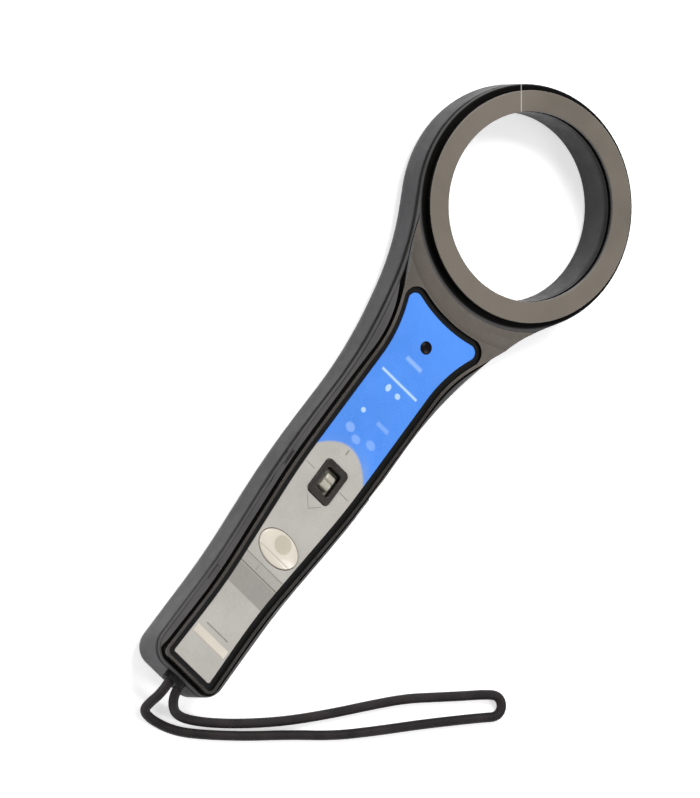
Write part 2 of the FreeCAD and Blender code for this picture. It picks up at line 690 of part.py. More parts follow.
def make_small_parts():
    base = size("board_z") + size("board_thick")
    head = size("ring_y")
    caps = []
    for index in range(5):
        caps.append(Part.makeBox(1.25, 2.0, 0.9, Vector(-5.6 + 2.4 * index, head - 95.6, base)))
    shaped("tuning_capacitors", Part.makeCompound(caps))
    can = Part.makeCylinder(3.15, 5.2, Vector(-8.2, head - 129.5, base))
    shaped("filter_capacitor", can.makeFillet(0.5, [can.Edges[0]]))
    crystal = Part.makeBox(6.4, 4.6, 3.4, Vector(-9.2, head - 174.0, base))
    crystal = crystal.makeFillet(2.0, [edge for edge in crystal.Edges if edge.BoundBox.ZLength > 3])
    shaped("quartz_crystal", crystal)
    buzzer = Part.makeCylinder(6.0, 5.4, Vector(0, head - 121.5, base))
    buzzer = buzzer.makeFillet(0.5, [buzzer.Edges[0]])
    vent = Part.makeCylinder(1.0, 2.0, Vector(0, head - 121.5, base + 4.4))
    shaped("buzzer", buzzer.cut(vent))


def make_antenna():
    inner = size("bobbin_in_r")
    core = size("bobbin_core_r")
    outer = size("bobbin_out_r")
    low = size("bobbin_low_z")
    high = size("bobbin_high_z")
    thick = size("flange_thick")
    former = new_body("coil_former")
    profile = [(inner, low), (outer, low), (outer, low + thick), (core, low + thick),
               (core, high - thick), (outer, high - thick), (outer, high), (inner, high)]
    revolve(former, polygon([Vector(x, z, 0) for x, z in profile]))
    coil = new_body("antenna_coil")
    gap = 0.05
    wound = size("coil_out_r")
    profile = [(core + gap, low + thick + gap), (wound, low + thick + gap),
               (wound, high - thick - gap), (core + gap, high - thick - gap)]
    revolve(coil, polygon([Vector(x, z, 0) for x, z in profile]))


def make_wires():
    """Insulated pairs: coil to board, and battery clip to board."""
    head = size("ring_y")
    radius = size("wire_r")
    spread = 1.1
    pair = []
    for side in (-1, 1):
        x = side * spread
        route = [(x, head - 44.9, 11.0), (x, head - 51.0, 11.4), (side * 3.6, head - 61.5, 14.8),
                 (side * 5.4, head - 71.0, 16.6), (side * 3.8, head - 80.5, 18.6),
                 (x, head - 85.4, 19.2), (x, head - 85.6, 15.6)]
        pair.append(tube([Vector(*point) for point in route], radius))
    shaped("antenna_leads", Part.makeCompound(pair))
    pair = []
    for side in (-1, 1):
        x = BOARD_PARTS["battery_connector"][3] + side * spread
        route = [(x, down("battery_top_drop") + size("clip_thick") + 0.1, 14.6), (x, head - 186.5, 15.0),
                 (x + 1.2, head - 178.5, 16.0), (x + 0.6, head - 172.4, 16.5), (x, head - 169.2, 19.2),
                 (x, head - 166.1, 19.3), (x, head - 166.2, 15.6)]
        pair.append(tube([Vector(*point) for point in route], radius))
    shaped("battery_leads", Part.makeCompound(pair))


# ---------------------------------------------------------------- battery

def make_battery():
    low = size("battery_low_z")
    high = size("battery_high_z")
    half = size("battery_half_x")
    end = down("battery_end_drop")
    top = down("battery_top_drop")
    can = Part.makeBox(2 * half, top - end, high - low, Vector(-half, end, low))
    can = can.makeFillet(2.0, [edge for edge in can.Edges if edge.BoundBox.YLength > 20])
    shaped("battery", can)
    studs = []
    middle = size("battery_z")
    for side in (-1, 1):
        stud = Part.makeCylinder(size("stud_r"), size("stud_tall"),
                                 Vector(side * size("stud_x"), top, middle), Vector(0, 1, 0))
        studs.append(stud)
    shaped("battery_terminals", Part.makeCompound(studs))
    clip = Part.makeBox(2 * size("clip_half_x"), size("clip_thick"), 2 * size("clip_half_z"),
                        Vector(-size("clip_half_x"), top + 0.05, middle - size("clip_half_z")))
    clip = clip.makeFillet(3.0, [edge for edge in clip.Edges if edge.BoundBox.YLength > 3])
    for side in (-1, 1):
        clip = clip.cut(Part.makeCylinder(size("stud_r") + 0.05, size("stud_tall") + 0.1,
                                          Vector(side * size("stud_x"), top, middle), Vector(0, 1, 0)))
    shaped("battery_snap", clip)
    pad_low = size("battery_high_z") + 0.02
    foam = Part.makeBox(18.0, 32.0, size("roof_z") - pad_low - 0.02, Vector(-9.0, end + 7.0, pad_low))
    shaped("battery_pad", foam)


def make_battery_door():
    """A plate cut from the casing's own back form, with a rounded hinge tongue and a finger notch."""
    body = new_body("battery_door")
    back_form(body)
    pocket(body, casing_outline(-1.0), "door_low_z + door_thick", "parting_z")
    around = rounded_box(size("ring_r") + 20, 2 * size("end_drop"), 1.0, 0, 0)
    pocket(body, around + door_loop(0.0, 0.0), "0 - 1", "parting_z")
    pocket(body, casing_outline(-1.0), "0 - 1", "door_low_z")
    tip = down("door_tongue_drop")
    dress(body, "Fillet", "door_thick / 2 - 0.01", lambda edge: edge.BoundBox.YMin > tip - 0.01
          and edge.BoundBox.XLength > 10)
    notch = oval(5.0, 1.6, 0, down("door_end_drop") + 4.4)
    pocket(body, notch, "0", "door_low_z + notch_deep")
    drill_across(body, "pin_bore_r", "pin_half", down("door_tongue_drop") - size("door_thick") / 2,
                 size("door_low_z") + size("door_thick") / 2)
    pin_y = down("door_tongue_drop") - size("door_thick") / 2
    pin_z = size("door_low_z") + size("door_thick") / 2
    cylinder("door_hinge_pin", "pin_r", "pin_half * 2 - 0.4", along_x(0.2 - size("pin_half"), pin_y, pin_z))


# ---------------------------------------------------------------- fasteners

def screw(x, y, low, head_r, head_tall, shank_r, top):
    """A pan-head screw pointing up, with a cross recess in its head."""
    head = Part.makeCylinder(head_r, head_tall, Vector(x, y, low))
    head = head.makeFillet(head_tall * 0.4, [head.Edges[2]])
    body = head.fuse(Part.makeCylinder(shank_r, top - low, Vector(x, y, low)))
    long, wide = head_r * 1.2, head_r * 0.28
    for size_x, size_y in ((long, wide), (wide, long)):
        body = body.cut(Part.makeBox(size_x, size_y, head_tall * 0.45,
                                     Vector(x - size_x / 2, y - size_y / 2, low)))
    return body


def make_screws():
    case = [screw(x, y, size("head_low_z"), size("head_r"), size("head_tall"), size("screw_r"),
                  size("screw_top_z")) for x, y in case_screw_places()]
    shaped("case_screws", Part.makeCompound(case))
    top = size("board_z") + size("board_thick")
    small = []
    for x, y in board_post_places():
        item = screw(0, 0, 0, 2.2, 1.4, size("post_bore_r") - 0.1, 7.5)
        item.Placement = Placement(Vector(x, y, top + 1.4), Rotation(Vector(1, 0, 0), 180))
        small.append(item)
    shaped("board_screws", Part.makeCompound(small))


# ---------------------------------------------------------------- lanyard

def cord_route():
    """The wrist loop's centre line as x, drop and height: out of the eye, round, and back."""
    floor = size("cord_z")
    eye = size("eye_z")
    descent = [(-2.1, 242.3, eye), (-1.2, 250.0, 16.6), (0.4, 255.0, 12.6), (1.3, 258.6, 7.4), (3.0, 261.3, 3.4)]
    outward = [(9.6, 261.0, floor), (20.3, 257.5, floor), (31.4, 249.9, floor), (46.3, 238.1, floor),
               (61.2, 224.8, floor), (77.4, 211.7, floor), (91.5, 197.2, floor), (104.9, 182.7, floor),
               (117.3, 170.0, floor), (125.4, 161.9, floor)]
    turn = [(130.2, 157.4, floor), (129.4, 152.6, floor), (124.9, 150.6, floor)]
    back = [(119.8, 154.5, floor), (112.4, 161.5, floor), (103.1, 170.0, floor), (92.8, 179.4, floor),
            (82.3, 191.6, floor), (70.2, 206.3, floor), (56.9, 221.2, floor), (43.4, 234.0, floor),
            (31.1, 244.1, floor), (21.4, 250.5, 2.4)]
    climb = [(14.9, 253.1, 4.6), (9.7, 253.0, 8.8), (5.6, 251.3, 13.2), (3.2, 247.9, 16.7), (2.1, 242.3, eye)]
    route = descent + outward + turn + back + climb
    return [Vector(x, size("ring_y") - drop, z) for x, drop, z in route]


def make_lanyard():
    cord = tube(cord_route(), size("cord_r"), report="wrist_cord")
    shaped("wrist_cord", cord)
    cylinder("lanyard_pin", "bar_r - 0.05", "bar_half * 2 - 0.2",
             along_x(0.1 - size("bar_half"), down("bar_drop"), size("bar_z")))
    end = down("end_drop")
    half_x = size("eye_half_x") - size("sleeve_slip")
    half_z = size("eye_half_z") - size("sleeve_slip")
    sleeve = Part.makeBox(2 * half_x, size("sleeve_in") + size("sleeve_out"), 2 * half_z,
                          Vector(-half_x, end - size("sleeve_out"), size("eye_z") - half_z))
    sleeve = sleeve.makeFillet(half_z - 0.1, [edge for edge in sleeve.Edges if edge.BoundBox.YLength > 1])
    shaped("cord_sleeve", sleeve.cut(cord))


# ---------------------------------------------------------------- check and export

def export():
    doc.recompute()
    for item in doc.Objects:
        if "Invalid" in item.State or "Error" in item.State:
            raise RuntimeError(f"{item.Name} ({item.Label}): {item.State}")
    os.makedirs("parts", exist_ok=True)
    for label, item in nodes.items():
        if item.Shape.isNull() or not item.Shape.isValid():
            raise RuntimeError(f"{label}: no valid shape")
        item.Shape.exportStep(f"parts/{label}.step")
    print(f"{len(nodes)} nodes written")


fill_sheet()
make_rear_shell()
make_front_shell()
make_ring_cover()
make_face_bezel()
make_panel_gasket()
make_panel_overlay()
make_indicator()
make_slide_switch()
make_push_button()
make_board()
make_chips()
make_connectors()
make_small_parts()
make_antenna()
make_wires()
make_battery()
make_battery_door()
make_screws()
make_lanyard()
export()
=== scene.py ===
import math

import bpy
import numpy as np
from mathutils import Matrix, Vector


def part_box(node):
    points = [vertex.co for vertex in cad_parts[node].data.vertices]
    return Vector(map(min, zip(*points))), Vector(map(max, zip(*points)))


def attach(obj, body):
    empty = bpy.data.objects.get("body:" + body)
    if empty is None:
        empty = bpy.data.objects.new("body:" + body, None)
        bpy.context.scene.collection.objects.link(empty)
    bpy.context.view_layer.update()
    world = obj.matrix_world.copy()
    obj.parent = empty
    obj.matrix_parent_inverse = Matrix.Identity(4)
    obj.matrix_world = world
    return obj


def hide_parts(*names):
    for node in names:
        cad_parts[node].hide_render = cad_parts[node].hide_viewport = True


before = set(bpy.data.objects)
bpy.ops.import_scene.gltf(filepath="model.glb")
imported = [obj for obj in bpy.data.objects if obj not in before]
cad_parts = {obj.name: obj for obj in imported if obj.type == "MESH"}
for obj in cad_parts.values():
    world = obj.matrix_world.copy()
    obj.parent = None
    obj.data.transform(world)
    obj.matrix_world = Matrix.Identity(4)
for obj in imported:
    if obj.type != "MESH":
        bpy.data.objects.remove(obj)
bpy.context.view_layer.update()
MM = 0.001

# ---------------------------------------------------------------- places worked out from the frame

cover_low, cover_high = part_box("ring_cover")
# The middle of the ring, at the level of its cover's top face.
RING = Vector(((cover_low.x + cover_high.x) / 2, (cover_low.y + cover_high.y) / 2, cover_high.z))
BORE_RADIUS = 38.0 * MM
SHOULDER_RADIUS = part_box("front_shell")[1].y - RING.y
PARTING_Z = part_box("rear_shell")[1].z
PANEL_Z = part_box("panel_overlay")[1].z
# The floor of the trench that runs round the rim.
TRENCH_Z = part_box("face_bezel")[0].z + 1.4 * MM

# ---------------------------------------------------------------- the view and the studio

OBJECT_TO_CAMERA = Vector((-0.383, -0.326, 0.864)).normalized()
CAMERA_UP = Vector((-0.648, 0.7615, 0.0)).normalized()
CAMERA_DISTANCE = 11.0
CAMERA_REACH = 40.0
SENSOR_WIDTH = 36.0
VIEW_WIDTH = 280.0 * MM
# How far the ring's middle lies to the right of the view's middle, and above it.
RING_ASIDE = 72.36 * MM
RING_UPWARD = 76.56 * MM

FLOOR_HALF = 3.0
FLOOR_LEVEL = -0.2 * MM
SURROUND_COLOUR = (0.97, 0.97, 1.0, 1.0)
SURROUND_STRENGTH = 0.3
# The soft boxes: name, place and size in metres, and power in watts.
SOFT_BOXES = [
    ("key", (-0.35, 0.75, 1.1), (0.7, 0.5), 16.0),
    ("fill", (-0.9, -0.7, 0.55), (0.6, 0.6), 8.0),
    ("rim", (0.9, 0.1, 0.8), (0.3, 0.9), 5.0),
]


def add_camera():
    """A long lens, 30 degrees off the face's normal, with the handle running down to the left."""
    right = CAMERA_UP.cross(OBJECT_TO_CAMERA)
    target = RING - right * RING_ASIDE - CAMERA_UP * RING_UPWARD
    data = bpy.data.cameras.new("camera")
    data.sensor_fit = "HORIZONTAL"
    data.sensor_width = SENSOR_WIDTH
    data.lens = SENSOR_WIDTH * CAMERA_DISTANCE / VIEW_WIDTH
    data.clip_end = CAMERA_REACH
    camera = bpy.data.objects.new("camera", data)
    turn = Matrix((right, CAMERA_UP, OBJECT_TO_CAMERA)).transposed().to_4x4()
    place = target + OBJECT_TO_CAMERA * CAMERA_DISTANCE
    camera.matrix_world = Matrix.Translation(place) @ turn
    bpy.context.scene.collection.objects.link(camera)
    bpy.context.scene.camera = camera
    return target


def add_light(name, place, target, size, power):
    data = bpy.data.lights.new(name, "AREA")
    data.shape = "RECTANGLE"
    data.size, data.size_y = size
    data.energy = power
    light = bpy.data.objects.new(name, data)
    away = (Vector(place) - target).normalized()
    turn = away.to_track_quat("Z", "Y").to_matrix().to_4x4()
    light.matrix_world = Matrix.Translation(place) @ turn
    bpy.context.scene.collection.objects.link(light)


def add_studio(target):
    """A pale floor, a pale surround and three soft boxes."""
    corners = [(x * FLOOR_HALF, y * FLOOR_HALF, FLOOR_LEVEL)
               for x, y in ((-1, -1), (1, -1), (1, 1), (-1, 1))]
    floor = mesh_piece("floor", corners, [(0, 1, 2, 3)])
    assign(floor, floor_material())
    world = bpy.data.worlds.new("studio")
    world.use_nodes = True
    backdrop = world.node_tree.nodes["Background"]
    backdrop.inputs["Color"].default_value = SURROUND_COLOUR
    backdrop.inputs["Strength"].default_value = SURROUND_STRENGTH
    bpy.context.scene.world = world
    for name, place, size, power in SOFT_BOXES:
        add_light(name, place, target, size, power)
    bpy.context.scene.view_settings.view_transform = "Standard"


# ---------------------------------------------------------------- node helpers

# A colour mix node's sockets: the factor and both colours in, and the colour out.
MIX_IN = (0, 6, 7)
MIX_OUT = 2
BEVEL_SAMPLES = 4
EDGE_WIDTH = 0.4 * MM


def node(tree, kind, **settings):
    made = tree.nodes.new(kind)
    for name, value in settings.items():
        if name in made.inputs:
            made.inputs[name].default_value = value
        else:
            setattr(made, name, value)
    return made


def math_node(tree, operation, first, second=0.0, clamp=False):
    """A math node's output; both values may be numbers or sockets."""
    made = node(tree, "ShaderNodeMath", operation=operation, use_clamp=clamp)
    for socket, value in zip(made.inputs, (first, second)):
        if isinstance(value, (int, float)):
            socket.default_value = value
        else:
            tree.links.new(value, socket)
    return made.outputs[0]


def mix_colour(tree, factor, first, second):
    """The first colour at factor 0 and the second at 1."""
    made = node(tree, "ShaderNodeMix", data_type="RGBA")
    for index, value in zip(MIX_IN, (factor, first, second)):
        socket = made.inputs[index]
        if isinstance(value, (int, float)):
            socket.default_value = value
        elif isinstance(value, tuple):
            socket.default_value = (*value, 1.0)
        else:
            tree.links.new(value, socket)
    return made.outputs[MIX_OUT]


def ramp(tree, value, low, high, to_low=0.0, to_high=1.0):
    """A smooth step from to_low at low to to_high at high."""
    made = node(tree, "ShaderNodeMapRange")
    made.interpolation_type = "SMOOTHSTEP"
    tree.links.new(value, made.inputs["Value"])
    names = ("From Min", "From Max", "To Min", "To Max")
    for name, number in zip(names, (low, high, to_low, to_high)):
        made.inputs[name].default_value = number
    return made.outputs["Result"]


def noise(tree, vector, scale, detail=3.0, roughness=0.55):
    made = node(tree, "ShaderNodeTexNoise", Scale=scale, Detail=detail, Roughness=roughness)
    tree.links.new(vector, made.inputs["Vector"])
    return made.outputs["Fac"]


def edge_mask(tree):
    """1 on edges sharper than the bevel node's rounding, 0 on flats."""
    bevel = node(tree, "ShaderNodeBevel", Radius=EDGE_WIDTH, samples=BEVEL_SAMPLES)
    geometry = node(tree, "ShaderNodeNewGeometry")
    dot = node(tree, "ShaderNodeVectorMath", operation="DOT_PRODUCT")
    tree.links.new(bevel.outputs["Normal"], dot.inputs[0])
    tree.links.new(geometry.outputs["Normal"], dot.inputs[1])
    return ramp(tree, dot.outputs["Value"], 0.995, 0.9)


def axis_values(tree, place):
    made = node(tree, "ShaderNodeSeparateXYZ")
    tree.links.new(place, made.inputs[0])
    return made.outputs


def near(tree, value, middle, half, soft):
    """1 within half of the middle, fading to 0 over the soft width."""
    distance = math_node(tree, "ABSOLUTE", math_node(tree, "SUBTRACT", value, middle))
    return ramp(tree, distance, half + soft / 2, half - soft / 2)


def both(tree, first, second):
    return math_node(tree, "MULTIPLY", first, second)


def either(tree, first, second):
    return math_node(tree, "MAXIMUM", first, second)


def steepness(tree):
    """1 on upright walls and 0 on level faces."""
    normal = node(tree, "ShaderNodeNewGeometry").outputs["True Normal"]
    upright = math_node(tree, "ABSOLUTE", axis_values(tree, normal)[2])
    return ramp(tree, upright, 0.55, 0.3)


def ring_distance(tree, place):
    """The distance from the ring's axis."""
    x, y, _ = axis_values(tree, place)
    offset = math_node(tree, "SUBTRACT", y, RING.y)
    square = math_node(tree, "ADD", both(tree, x, x), both(tree, offset, offset))
    return math_node(tree, "SQRT", square)


def start_material(name):
    material = bpy.data.materials.new(name)
    material.use_nodes = True
    tree = material.node_tree
    place = node(tree, "ShaderNodeTexCoord").outputs["Object"]
    return material, tree, tree.nodes["Principled BSDF"], place


def bump(tree, shader, layers, soften=0.0):
    """Stacks bump layers of (height, depth in metres) on the shader, over softly rounded edges."""
    normal = None
    if soften:
        normal = node(tree, "ShaderNodeBevel", Radius=soften, samples=BEVEL_SAMPLES).outputs["Normal"]
    for height, depth in layers:
        made = node(tree, "ShaderNodeBump", Distance=depth, Strength=1.0)
        tree.links.new(height, made.inputs["Height"])
        if normal is not None:
            tree.links.new(normal, made.inputs["Normal"])
        normal = made.outputs["Normal"]
    tree.links.new(normal, shader.inputs["Normal"])


# Glossy black, for the black parts and for painted shade in grooves and recesses.
BLACK_GLOSS_AND_SHADE = (0.003, 0.0028, 0.0025)
CLOUD_SCALE = 22.0
SMEAR_SCALE = 140.0
SMEAR_GLOSS = 0.07
GRAIN_GLOSS = 0.03
RUBBED_AND_LIT_GAIN = 1.9
RUBBED_AND_LIT_LIFT = 0.02
COAT_ROUGHNESS = 0.25
SOFT_EDGE = 0.25 * MM


def moulded(name, colour, rough, grain=0.03 * MM, grain_size=1800.0, wear_and_highlight=0.25, coat=0.0,
            drift=0.12, black_and_shade=None, gloss_drop=0.0, specular=0.5, decorate=None):
    """Injection-moulded plastic: spark grain, uneven gloss, faint smears, and edges lightened as rubbed
    wear and as painted highlight.

    A mask function given for the black gives the parts that are black and the painted shade in grooves
    and recesses, and a decorate function paints print, marks and painted shade over the colour.
    """
    material, tree, shader, place = start_material(name)
    cloud = noise(tree, place, CLOUD_SCALE, 4.0)
    speck = noise(tree, place, grain_size, 2.0)
    smear = noise(tree, place, SMEAR_SCALE, 5.0, 0.65)
    darker = tuple(channel * (1 - drift) for channel in colour)
    lighter = tuple(min(1.0, channel * (1 + drift)) for channel in colour)
    tint = mix_colour(tree, ramp(tree, cloud, 0.35, 0.65), darker, lighter)
    tint = mix_colour(tree, ramp(tree, smear, 0.55, 0.8, 0.0, 0.25), tint, lighter)
    # Edges are lightened: rubbed wear, and painted highlight where light catches them.
    rubbed_and_lit = tuple(min(1.0, channel * RUBBED_AND_LIT_GAIN + RUBBED_AND_LIT_LIFT) for channel in colour)
    worn_and_lit = both(tree, edge_mask(tree), ramp(tree, smear, 0.4, 0.62, 0.2, 1.0))
    worn_and_lit = both(tree, worn_and_lit, wear_and_highlight)
    tint = mix_colour(tree, worn_and_lit, tint, rubbed_and_lit)
    gloss = math_node(tree, "ADD", ramp(tree, smear, 0.3, 0.75, -SMEAR_GLOSS, SMEAR_GLOSS), rough)
    pitted = ramp(tree, speck, 0.3, 0.7, -GRAIN_GLOSS, GRAIN_GLOSS)
    gloss = math_node(tree, "ADD", gloss, pitted, clamp=True)
    if black_and_shade:
        # Black parts, and painted shade in grooves and recesses.
        mask = black_and_shade(tree, place)
        tint = mix_colour(tree, mask, tint, BLACK_GLOSS_AND_SHADE)
        gloss = math_node(tree, "SUBTRACT", gloss, both(tree, mask, gloss_drop), clamp=True)
    if decorate:
        tint = decorate(tree, place, tint)
    tree.links.new(tint, shader.inputs["Base Color"])
    tree.links.new(gloss, shader.inputs["Roughness"])
    shader.inputs["Specular IOR Level"].default_value = specular
    shader.inputs["Coat Weight"].default_value = coat
    shader.inputs["Coat Roughness"].default_value = COAT_ROUGHNESS
    bump(tree, shader, [(speck, grain), (smear, grain * 1.5)], SOFT_EDGE)
    return material


PARTING_HALF = 1.5 * MM
PARTING_SOFT = 1.0 * MM


def parting_line_shade(tree, place):
    """Painted shade along the line where the two shells meet."""
    return near(tree, axis_values(tree, place)[2], PARTING_Z, PARTING_HALF, PARTING_SOFT)


def front_shell_black_and_shade(tree, place):
    """Painted shade in the parting line and in the trench round the rim, and black on all of the ring's
    shoulder and bore.
    """
    z = axis_values(tree, place)[2]
    level = ramp(tree, steepness(tree), 0.3, 0.0)
    # Painted shade on the trench's floor and walls.
    trench_floor = both(tree, near(tree, z, TRENCH_Z, 0.12 * MM, 0.1 * MM), level)
    trench_wall = both(tree, steepness(tree), ramp(tree, z, TRENCH_Z - 0.8 * MM, TRENCH_Z - 0.2 * MM))
    trench = either(tree, trench_floor, trench_wall)
    distance = ring_distance(tree, place)
    near_ring = ramp(tree, distance, SHOULDER_RADIUS + 0.3 * MM, SHOULDER_RADIUS - 0.9 * MM)
    shoulder = both(tree, near_ring, ramp(tree, z, PARTING_Z + 1.3 * MM, PARTING_Z + 1.7 * MM))
    bore = ramp(tree, distance, BORE_RADIUS + 2.0 * MM, BORE_RADIUS + 1.0 * MM)
    lines = either(tree, parting_line_shade(tree, place), trench)
    return either(tree, lines, either(tree, shoulder, bore))


def cover_black(tree, place):
    """Everything on the ring cover but its top face."""
    return ramp(tree, axis_values(tree, place)[2], RING.z - 0.35 * MM, RING.z - 0.55 * MM)


def bezel_black(tree, place):
    """The rim's two upright sides."""
    z = axis_values(tree, place)[2]
    return both(tree, steepness(tree), ramp(tree, z, RING.z - 0.1 * MM, RING.z - 0.35 * MM))


# The joint line's normal in plan, its distance from the ring's axis and its lean with height.
SEAM_SIDE = Vector((0.7615, 0.648))
SEAM_OFFSET = 4.6 * MM
SEAM_LEAN = 0.583
SEAM_HALF = 0.22 * MM
SEAM_SOFT = 0.2 * MM
SEAM_STRENGTH = 0.62
SEAM_COLOUR = (0.5, 0.48, 0.43)


def ring_seam(tree, place, tint):
    """The pale joint line that crosses the far side of the ring's head."""
    x, y, z = axis_values(tree, place)
    offset = math_node(tree, "SUBTRACT", y, RING.y)
    across = math_node(tree, "ADD", math_node(tree, "MULTIPLY", x, SEAM_SIDE.x),
                       math_node(tree, "MULTIPLY", offset, SEAM_SIDE.y))
    lean = math_node(tree, "MULTIPLY", math_node(tree, "SUBTRACT", RING.z, z), SEAM_LEAN)
    across = math_node(tree, "SUBTRACT", across, lean)
    outwards = math_node(tree, "SUBTRACT", offset, x)
    far_side = ramp(tree, outwards, 0.0, 5 * MM)
    line = both(tree, near(tree, across, -SEAM_OFFSET, SEAM_HALF, SEAM_SOFT), far_side)
    return mix_colour(tree, both(tree, line, SEAM_STRENGTH), tint, SEAM_COLOUR)


# Where the shades begin and end, as drops below the ring's centre in millimetres.
RIM_DROPS = (62.0, 100.0)
RIM_DARK = (0.01, 0.009, 0.008)
GRIP_DROPS = (130.0, 240.0)
GRIP_PALE = (0.056, 0.054, 0.056)
BORE_SHADE_COLOUR = (0.008, 0.0078, 0.008)
BORE_SHADE_STRENGTH = 0.55


def rim_darker_and_shaded(tree, place, tint):
    """The rim is darker along the handle than the web beside the ring, and painted shade makes it
    darkest on the right, away from the light.
    """
    across, drop = panel_places(tree, place)
    # Painted shade: stronger towards the right, away from the light.
    strength = ramp(tree, across, -4.0, 6.0, 0.55, 0.85)
    shade = mix_colour(tree, strength, tint, RIM_DARK)
    return mix_colour(tree, ramp(tree, drop, *RIM_DROPS), tint, shade)


def pale_grip_and_bore_shade(tree, place, tint):
    """The grip is paler towards its foot, and painted shade darkens the wall of the ring's bore."""
    drop = panel_places(tree, place)[1]
    tint = mix_colour(tree, ramp(tree, drop, *GRIP_DROPS), tint, GRIP_PALE)
    # Painted shade on the bore's wall.
    distance = ring_distance(tree, place)
    inside = ramp(tree, distance, BORE_RADIUS + 2.6 * MM, BORE_RADIUS + 1.0 * MM)
    return mix_colour(tree, both(tree, inside, BORE_SHADE_STRENGTH), tint, BORE_SHADE_COLOUR)


def panel_places(tree, place):
    """The place on the panel in millimetres: across, and dropped from the ring's centre."""
    x, y, _ = axis_values(tree, place)
    across = math_node(tree, "MULTIPLY", math_node(tree, "SUBTRACT", x, RING.x), 1 / MM)
    drop = math_node(tree, "MULTIPLY", math_node(tree, "SUBTRACT", RING.y, y), 1 / MM)
    return across, drop


def oval_mask(tree, across, drop, middle, half, soft=0.35):
    """1 inside an oval on the panel, with a soft edge given as a part of its size."""
    aside = math_node(tree, "DIVIDE", math_node(tree, "SUBTRACT", across, middle[0]), half[0])
    along = math_node(tree, "DIVIDE", math_node(tree, "SUBTRACT", drop, middle[1]), half[1])
    square = math_node(tree, "ADD", both(tree, aside, aside), both(tree, along, along))
    return ramp(tree, square, 1.0 + soft, 1.0 - soft)


PALE = (0.4, 0.56, 0.88)
INK = (0.13, 0.12, 0.1)
STONE = (0.25, 0.235, 0.215)
VEIL = (0.2, 0.3, 0.5)
GREYS = ((0.365, 0.352, 0.322), (0.41, 0.39, 0.358))
# The panel's places are in millimetres: across from its middle, and dropped from the ring's centre.
# Printed bars and rules: middle across, middle drop, half width, half height, softness, colour and
# strength.
BARS = [
    (0.0, 82.9, 4.4, 0.9, 1.0, PALE, 0.45),
    (0.0, 93.3, 10.3, 0.55, 0.5, PALE, 0.95),
    (5.4, 111.7, 3.3, 0.9, 1.2, PALE, 0.3),
    (-0.6, 129.6, 0.35, 1.3, 0.4, INK, 0.7),
    (-10.6, 144.2, 2.6, 0.2, 0.25, INK, 0.6),
    (9.4, 144.2, 2.6, 0.2, 0.25, INK, 0.7),
    (0.0, 188.9, 14.0, 0.25, 0.25, INK, 0.65),
    (0.0, 191.1, 14.0, 2.0, 0.3, STONE, 0.35),
    (-2.6, 191.1, 0.2, 1.3, 0.25, INK, 0.5),
    (0.0, 193.4, 14.0, 0.3, 0.25, INK, 0.9),
    (0.0, 198.8, 14.0, 4.8, 0.5, STONE, 0.9),
    (0.0, 222.7, 6.2, 0.25, 0.3, INK, 0.85),
]
# Printed dots, in the same order but without the softness.
DOTS = [
    (-3.0, 97.7, 1.2, 1.6, PALE, 0.95),
    (2.5, 97.7, 1.3, 1.2, PALE, 0.9),
    (-6.1, 111.8, 1.1, 1.1, PALE, 0.95),
    (-6.3, 120.9, 2.3, 1.9, PALE, 0.35),
    (5.7, 120.6, 2.3, 1.8, PALE, 0.3),
    (-1.1, 123.1, 2.2, 1.7, PALE, 0.3),
]
# The arch between blue and grey: its top's drop, and how fast it falls away to the sides.
ARCH_TOP = 127.2
ARCH_BEND = 0.043
CHEVRON_TIP = 158.2
CHEVRON_HALF = 4.2
CHEVRON_STRENGTH = 0.6


def printed_panel(tree, place, tint):
    """Blue above, warm grey below an arch, with plain bars, dots, rules and a chevron."""
    across, drop = panel_places(tree, place)
    bend = both(tree, both(tree, across, across), ARCH_BEND)
    below_arch = math_node(tree, "SUBTRACT", drop, math_node(tree, "ADD", bend, ARCH_TOP))
    rightwards = ramp(tree, across, 3.0, 12.0, 0.1, 0.45)
    veil = both(tree, ramp(tree, below_arch, -7.0, 0.0), rightwards)
    tint = mix_colour(tree, veil, tint, VEIL)
    cloud = noise(tree, place, 55.0, 3.0)
    grey = mix_colour(tree, ramp(tree, cloud, 0.3, 0.7), *GREYS)
    tint = mix_colour(tree, ramp(tree, below_arch, -0.8, 0.8), tint, grey)
    for middle, depth, half, tall, soft, colour, strength in BARS:
        mark = both(tree, near(tree, across, middle, half, soft), near(tree, drop, depth, tall, soft))
        tint = mix_colour(tree, both(tree, mark, strength), tint, colour)
    for middle, depth, half, tall, colour, strength in DOTS:
        mark = oval_mask(tree, across, drop, (middle, depth), (half, tall))
        tint = mix_colour(tree, both(tree, mark, strength), tint, colour)
    slant = math_node(tree, "ADD", drop, math_node(tree, "ABSOLUTE", across))
    arms = near(tree, slant, CHEVRON_TIP, 0.25, 0.3)
    chevron = both(tree, arms, near(tree, across, 0.0, CHEVRON_HALF, 0.4))
    return mix_colour(tree, both(tree, chevron, CHEVRON_STRENGTH), tint, INK)


# The button's middle below the ring's centre, its dish above that and its line below, in millimetres.
BUTTON_DROP = 179.4
DISH_RISE = 2.2
SCRIBE_FALL = 3.6


def button_tints(tree, place, tint):
    """Painted shade in the thumb dish, and one scribed line across the button."""
    across, drop = panel_places(tree, place)
    dish = oval_mask(tree, across, drop, (0.2, BUTTON_DROP - DISH_RISE), (4.1, 3.9), 0.25)
    # Painted shade in the dish.
    tint = mix_colour(tree, both(tree, dish, 0.85), tint, (0.43, 0.39, 0.31))
    line = near(tree, drop, BUTTON_DROP + SCRIBE_FALL, 0.16, 0.2)
    return mix_colour(tree, both(tree, line, 0.6), tint, (0.3, 0.27, 0.22))


SCRATCH_SCALE = 900.0
SCRATCH_STRETCH = (1.0, 0.08, 1.0)


